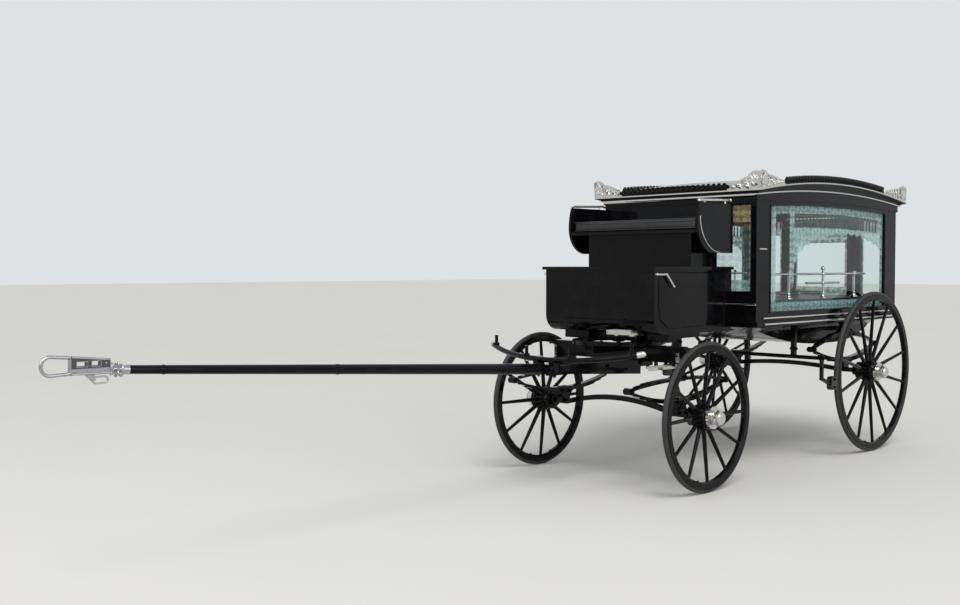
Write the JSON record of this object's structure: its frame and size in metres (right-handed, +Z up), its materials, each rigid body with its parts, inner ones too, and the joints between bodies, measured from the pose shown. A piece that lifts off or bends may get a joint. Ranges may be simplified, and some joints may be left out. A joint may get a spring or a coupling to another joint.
{
  "type": "horse-drawn glass hearse",
  "caption": "Black horse-drawn funeral carriage with a glass-sided coach, arched cornice, spoked wheels, elliptic springs, a turntable forecarriage and a pole.",
  "frame": {"origin": "on the ground under the middle of the whole vehicle, pole included", "axes": "+X forward along the pole, +Y to the vehicle's left (near) side, +Z up"},
  "size_m": [6.7193, 1.656, 2.0638],
  "materials": {
    "black_paint": "deep gloss",
    "silver_plate": "polished",
    "rubber": "matt",
    "glass": "clear, edges etched",
    "leather": "satin",
    "steel": "polished",
    "cloth": "matt"
  },
  "bodies": {
    "carriage_body": {"bier_rails": "silver_plate", "bier_rollers": "silver_plate", "body_irons": "black_paint", "body_mouldings": "silver_plate", "boot": "black_paint", "boot_handles": "silver_plate", "brake_gear": "black_paint", "brake_shoes": "black_paint", "coach_glass": "glass", "coffin_deck": "black_paint", "cornice": "black_paint", "door_hinge_posts": "silver_plate", "floor_sill": "black_paint", "footboard": "black_paint", "front_frame": "black_paint", "front_step": "silver_plate", "rear_axle": "black_paint", "rear_frame": "black_paint", "rear_springs": "black_paint", "roof_crest": "black_paint", "roof_ornaments": "silver_plate", "roof_panel": "black_paint", "seat_box": "black_paint", "seat_cushion": "leather", "seat_frame": "black_paint", "seat_rails": "silver_plate", "side_frame_left": "black_paint", "side_frame_right": "black_paint", "underbody": "black_paint", "upper_turntable": "black_paint", "valance": "cloth"},
    "rear_door": {"rear_door_frame": "black_paint", "rear_door_glass": "glass", "rear_door_hinges": "silver_plate", "rear_door_handle": "silver_plate"},
    "forecarriage": {"lower_turntable": "black_paint", "futchells": "black_paint", "splinter_bar": "black_paint", "splinter_caps": "silver_plate", "driver_steps": "silver_plate", "trace_pins": "black_paint", "front_axle": "black_paint", "front_springs": "black_paint", "pole": "black_paint", "pole_head": "steel"},
    "front_left_wheel_set": {"front_left_wheel": "black_paint", "front_left_tyre": "rubber", "front_left_hub_cap": "silver_plate"},
    "front_right_wheel_set": {"front_right_wheel": "black_paint", "front_right_tyre": "rubber", "front_right_hub_cap": "silver_plate"},
    "rear_left_wheel_set": {"rear_left_wheel": "black_paint", "rear_left_tyre": "rubber", "rear_left_hub_cap": "silver_plate"},
    "rear_right_wheel_set": {"rear_right_wheel": "black_paint", "rear_right_tyre": "rubber", "rear_right_hub_cap": "silver_plate"}
  },
  "joints": [
    {"name": "steering", "type": "hinge", "parent": "carriage_body", "child": "forecarriage", "pos_m": [-0.5235, 0, 0.9], "axis": [0, 0, 1], "range_deg": [-75, 75]},
    {"name": "rear_door_hinge", "type": "hinge", "parent": "carriage_body", "child": "rear_door", "pos_m": [-3.3015, -0.33, 1.445], "axis": [0, 0, 1], "range_deg": [0, 110]},
    {"name": "rear_left_wheel_spin", "type": "hinge", "parent": "carriage_body", "child": "rear_left_wheel_set", "pos_m": [-2.7495, 0.72, 0.61], "axis": [0, 1, 0], "continuous": true},
    {"name": "rear_right_wheel_spin", "type": "hinge", "parent": "carriage_body", "child": "rear_right_wheel_set", "pos_m": [-2.7495, -0.72, 0.61], "axis": [0, 1, 0], "continuous": true},
    {"name": "front_left_wheel_spin", "type": "hinge", "parent": "forecarriage", "child": "front_left_wheel_set", "pos_m": [-0.5235, 0.7, 0.4725], "axis": [0, 1, 0], "continuous": true},
    {"name": "front_right_wheel_spin", "type": "hinge", "parent": "forecarriage", "child": "front_right_wheel_set", "pos_m": [-0.5235, -0.7, 0.4725], "axis": [0, 1, 0], "continuous": true}
  ]
}
